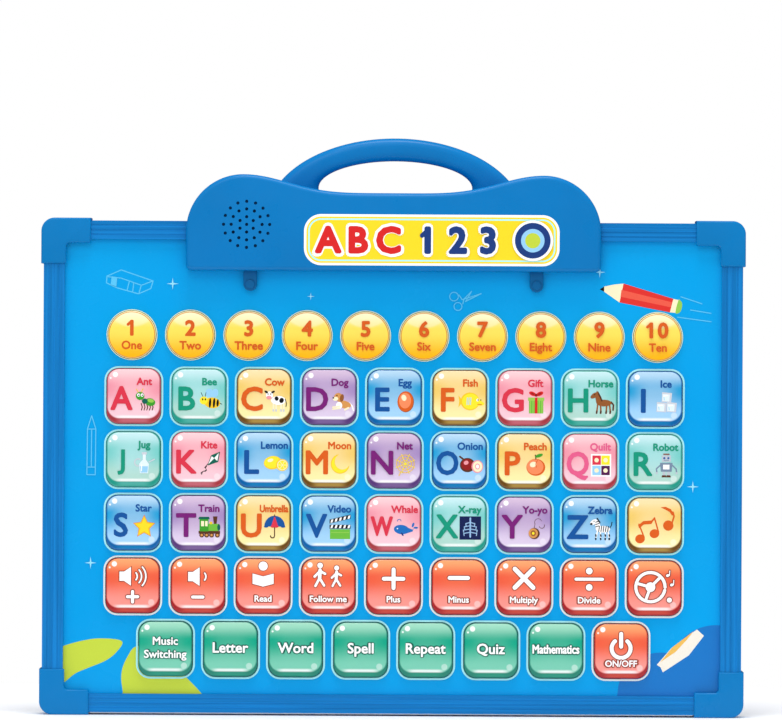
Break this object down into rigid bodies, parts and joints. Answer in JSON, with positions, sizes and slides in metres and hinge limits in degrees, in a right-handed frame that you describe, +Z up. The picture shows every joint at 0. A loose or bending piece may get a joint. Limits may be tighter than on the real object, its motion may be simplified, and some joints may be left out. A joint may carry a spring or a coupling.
{
  "type": "kids toy tablet",
  "caption": "Flat upright learning board in a four-rail frame, with rows of press keys, a speaker header, a carry handle and a battery door.",
  "frame": {"origin": "centre of the toy's outer box, at the bottom edge it stands on", "axes": "+X along the board's width, towards the right as the keys are read; +Y from the key face to the back; +Z up to the handle"},
  "size_m": [0.37, 0.0364, 0.3041],
  "materials": {
    "rail_blue": "satin, ribbed",
    "cap_blue": "glossy",
    "panel_blue": "glossy print on plastic sheet",
    "back_blue": "matt",
    "header_blue": "glossy moulding",
    "key_pink": "glossy print",
    "key_green": "glossy print",
    "key_yellow": "glossy print",
    "key_purple": "glossy print",
    "key_blue": "glossy print",
    "key_red": "glossy print",
    "key_function_green": "glossy print",
    "key_amber": "glossy print",
    "circuit_green": "solder mask",
    "speaker_black": "matt",
    "screw_steel": "plated screws, springs and contacts",
    "cell_wrap": "shrunk printed wrap",
    "title_sticker": "glossy printed sticker"
  },
  "bodies": {
    "board": {"left_rail": "rail_blue", "right_rail": "rail_blue", "top_rail": "rail_blue", "bottom_rail": "rail_blue", "corner_cap_top_left": "cap_blue", "corner_cap_top_right": "cap_blue", "corner_cap_bottom_left": "cap_blue", "corner_cap_bottom_right": "cap_blue", "key_panel": "panel_blue", "back_board": "back_blue", "circuit_board": "circuit_green", "header_front_shell": "header_blue", "header_rear_shell": "header_blue", "speaker": "speaker_black"},
    "key_a": {"key_a": "key_pink"},
    "key_b": {"key_b": "key_green"},
    "key_c": {"key_c": "key_yellow"},
    "key_d": {"key_d": "key_purple"},
    "key_e": {"key_e": "key_blue"},
    "key_f": {"key_f": "key_yellow"},
    "key_g": {"key_g": "key_pink"},
    "key_h": {"key_h": "key_green"},
    "key_i": {"key_i": "key_blue"},
    "key_j": {"key_j": "key_green"},
    "key_k": {"key_k": "key_pink"},
    "key_l": {"key_l": "key_blue"},
    "key_m": {"key_m": "key_yellow"},
    "key_n": {"key_n": "key_purple"},
    "key_o": {"key_o": "key_blue"},
    "key_p": {"key_p": "key_yellow"},
    "key_q": {"key_q": "key_pink"},
    "key_r": {"key_r": "key_green"},
    "key_s": {"key_s": "key_blue"},
    "key_t": {"key_t": "key_purple"},
    "key_u": {"key_u": "key_yellow"},
    "key_v": {"key_v": "key_blue"},
    "key_w": {"key_w": "key_pink"},
    "key_x": {"key_x": "key_green"},
    "key_y": {"key_y": "key_purple"},
    "key_z": {"key_z": "key_blue"},
    "key_music": {"key_music": "key_yellow"},
    "key_volume_up": {"key_volume_up": "key_red"},
    "key_volume_down": {"key_volume_down": "key_red"},
    "key_read": {"key_read": "key_red"},
    "key_follow_me": {"key_follow_me": "key_red"},
    "key_plus": {"key_plus": "key_red"},
    "key_minus": {"key_minus": "key_red"},
    "key_times": {"key_times": "key_red"},
    "key_divide": {"key_divide": "key_red"},
    "key_game": {"key_game": "key_red"},
    "key_music_switching": {"key_music_switching": "key_function_green"},
    "key_letter": {"key_letter": "key_function_green"},
    "key_word": {"key_word": "key_function_green"},
    "key_spell": {"key_spell": "key_function_green"},
    "key_repeat": {"key_repeat": "key_function_green"},
    "key_quiz": {"key_quiz": "key_function_green"},
    "key_maths": {"key_maths": "key_function_green"},
    "key_power": {"key_power": "key_red"},
    "number_keys": {"number_key_strip": "key_amber"},
    "battery_door": {"battery_door": "header_blue"}
  },
  "joints": [
    {"name": "press_a", "type": "slide", "parent": "board", "child": "key_a", "axis": [0, 1, 0], "range_m": [0, 0.001], "stiffness_N_per_m": 800},
    {"name": "press_b", "type": "slide", "parent": "board", "child": "key_b", "axis": [0, 1, 0], "range_m": [0, 0.001], "stiffness_N_per_m": 800},
    {"name": "press_c", "type": "slide", "parent": "board", "child": "key_c", "axis": [0, 1, 0], "range_m": [0, 0.001], "stiffness_N_per_m": 800},
    {"name": "press_d", "type": "slide", "parent": "board", "child": "key_d", "axis": [0, 1, 0], "range_m": [0, 0.001], "stiffness_N_per_m": 800},
    {"name": "press_e", "type": "slide", "parent": "board", "child": "key_e", "axis": [0, 1, 0], "range_m": [0, 0.001], "stiffness_N_per_m": 800},
    {"name": "press_f", "type": "slide", "parent": "board", "child": "key_f", "axis": [0, 1, 0], "range_m": [0, 0.001], "stiffness_N_per_m": 800},
    {"name": "press_g", "type": "slide", "parent": "board", "child": "key_g", "axis": [0, 1, 0], "range_m": [0, 0.001], "stiffness_N_per_m": 800},
    {"name": "press_h", "type": "slide", "parent": "board", "child": "key_h", "axis": [0, 1, 0], "range_m": [0, 0.001], "stiffness_N_per_m": 800},
    {"name": "press_i", "type": "slide", "parent": "board", "child": "key_i", "axis": [0, 1, 0], "range_m": [0, 0.001], "stiffness_N_per_m": 800},
    {"name": "press_j", "type": "slide", "parent": "board", "child": "key_j", "axis": [0, 1, 0], "range_m": [0, 0.001], "stiffness_N_per_m": 800},
    {"name": "press_k", "type": "slide", "parent": "board", "child": "key_k", "axis": [0, 1, 0], "range_m": [0, 0.001], "stiffness_N_per_m": 800},
    {"name": "press_l", "type": "slide", "parent": "board", "child": "key_l", "axis": [0, 1, 0], "range_m": [0, 0.001], "stiffness_N_per_m": 800},
    {"name": "press_m", "type": "slide", "parent": "board", "child": "key_m", "axis": [0, 1, 0], "range_m": [0, 0.001], "stiffness_N_per_m": 800},
    {"name": "press_n", "type": "slide", "parent": "board", "child": "key_n", "axis": [0, 1, 0], "range_m": [0, 0.001], "stiffness_N_per_m": 800},
    {"name": "press_o", "type": "slide", "parent": "board", "child": "key_o", "axis": [0, 1, 0], "range_m": [0, 0.001], "stiffness_N_per_m": 800},
    {"name": "press_p", "type": "slide", "parent": "board", "child": "key_p", "axis": [0, 1, 0], "range_m": [0, 0.001], "stiffness_N_per_m": 800},
    {"name": "press_q", "type": "slide", "parent": "board", "child": "key_q", "axis": [0, 1, 0], "range_m": [0, 0.001], "stiffness_N_per_m": 800},
    {"name": "press_r", "type": "slide", "parent": "board", "child": "key_r", "axis": [0, 1, 0], "range_m": [0, 0.001], "stiffness_N_per_m": 800},
    {"name": "press_s", "type": "slide", "parent": "board", "child": "key_s", "axis": [0, 1, 0], "range_m": [0, 0.001], "stiffness_N_per_m": 800},
    {"name": "press_t", "type": "slide", "parent": "board", "child": "key_t", "axis": [0, 1, 0], "range_m": [0, 0.001], "stiffness_N_per_m": 800},
    {"name": "press_u", "type": "slide", "parent": "board", "child": "key_u", "axis": [0, 1, 0], "range_m": [0, 0.001], "stiffness_N_per_m": 800},
    {"name": "press_v", "type": "slide", "parent": "board", "child": "key_v", "axis": [0, 1, 0], "range_m": [0, 0.001], "stiffness_N_per_m": 800},
    {"name": "press_w", "type": "slide", "parent": "board", "child": "key_w", "axis": [0, 1, 0], "range_m": [0, 0.001], "stiffness_N_per_m": 800},
    {"name": "press_x", "type": "slide", "parent": "board", "child": "key_x", "axis": [0, 1, 0], "range_m": [0, 0.001], "stiffness_N_per_m": 800},
    {"name": "press_y", "type": "slide", "parent": "board", "child": "key_y", "axis": [0, 1, 0], "range_m": [0, 0.001], "stiffness_N_per_m": 800},
    {"name": "press_z", "type": "slide", "parent": "board", "child": "key_z", "axis": [0, 1, 0], "range_m": [0, 0.001], "stiffness_N_per_m": 800},
    {"name": "press_music", "type": "slide", "parent": "board", "child": "key_music", "axis": [0, 1, 0], "range_m": [0, 0.001], "stiffness_N_per_m": 800},
    {"name": "press_volume_up", "type": "slide", "parent": "board", "child": "key_volume_up", "axis": [0, 1, 0], "range_m": [0, 0.001], "stiffness_N_per_m": 800},
    {"name": "press_volume_down", "type": "slide", "parent": "board", "child": "key_volume_down", "axis": [0, 1, 0], "range_m": [0, 0.001], "stiffness_N_per_m": 800},
    {"name": "press_read", "type": "slide", "parent": "board", "child": "key_read", "axis": [0, 1, 0], "range_m": [0, 0.001], "stiffness_N_per_m": 800},
    {"name": "press_follow_me", "type": "slide", "parent": "board", "child": "key_follow_me", "axis": [0, 1, 0], "range_m": [0, 0.001], "stiffness_N_per_m": 800},
    {"name": "press_plus", "type": "slide", "parent": "board", "child": "key_plus", "axis": [0, 1, 0], "range_m": [0, 0.001], "stiffness_N_per_m": 800},
    {"name": "press_minus", "type": "slide", "parent": "board", "child": "key_minus", "axis": [0, 1, 0], "range_m": [0, 0.001], "stiffness_N_per_m": 800},
    {"name": "press_times", "type": "slide", "parent": "board", "child": "key_times", "axis": [0, 1, 0], "range_m": [0, 0.001], "stiffness_N_per_m": 800},
    {"name": "press_divide", "type": "slide", "parent": "board", "child": "key_divide", "axis": [0, 1, 0], "range_m": [0, 0.001], "stiffness_N_per_m": 800},
    {"name": "press_game", "type": "slide", "parent": "board", "child": "key_game", "axis": [0, 1, 0], "range_m": [0, 0.001], "stiffness_N_per_m": 800},
    {"name": "press_music_switching", "type": "slide", "parent": "board", "child": "key_music_switching", "axis": [0, 1, 0], "range_m": [0, 0.001], "stiffness_N_per_m": 800},
    {"name": "press_letter", "type": "slide", "parent": "board", "child": "key_letter", "axis": [0, 1, 0], "range_m": [0, 0.001], "stiffness_N_per_m": 800},
    {"name": "press_word", "type": "slide", "parent": "board", "child": "key_word", "axis": [0, 1, 0], "range_m": [0, 0.001], "stiffness_N_per_m": 800},
    {"name": "press_spell", "type": "slide", "parent": "board", "child": "key_spell", "axis": [0, 1, 0], "range_m": [0, 0.001], "stiffness_N_per_m": 800},
    {"name": "press_repeat", "type": "slide", "parent": "board", "child": "key_repeat", "axis": [0, 1, 0], "range_m": [0, 0.001], "stiffness_N_per_m": 800},
    {"name": "press_quiz", "type": "slide", "parent": "board", "child": "key_quiz", "axis": [0, 1, 0], "range_m": [0, 0.001], "stiffness_N_per_m": 800},
    {"name": "press_maths", "type": "slide", "parent": "board", "child": "key_maths", "axis": [0, 1, 0], "range_m": [0, 0.001], "stiffness_N_per_m": 800},
    {"name": "press_power", "type": "slide", "parent": "board", "child": "key_power", "axis": [0, 1, 0], "range_m": [0, 0.001], "stiffness_N_per_m": 800},
    {"name": "press_numbers", "type": "slide", "parent": "board", "child": "number_keys", "axis": [0, 1, 0], "range_m": [0, 0.001], "stiffness_N_per_m": 2400},
    {"name": "battery_door_lift", "type": "slide", "parent": "board", "child": "battery_door", "axis": [0, 1, 0], "range_m": [0, 0.03]}
  ]
}
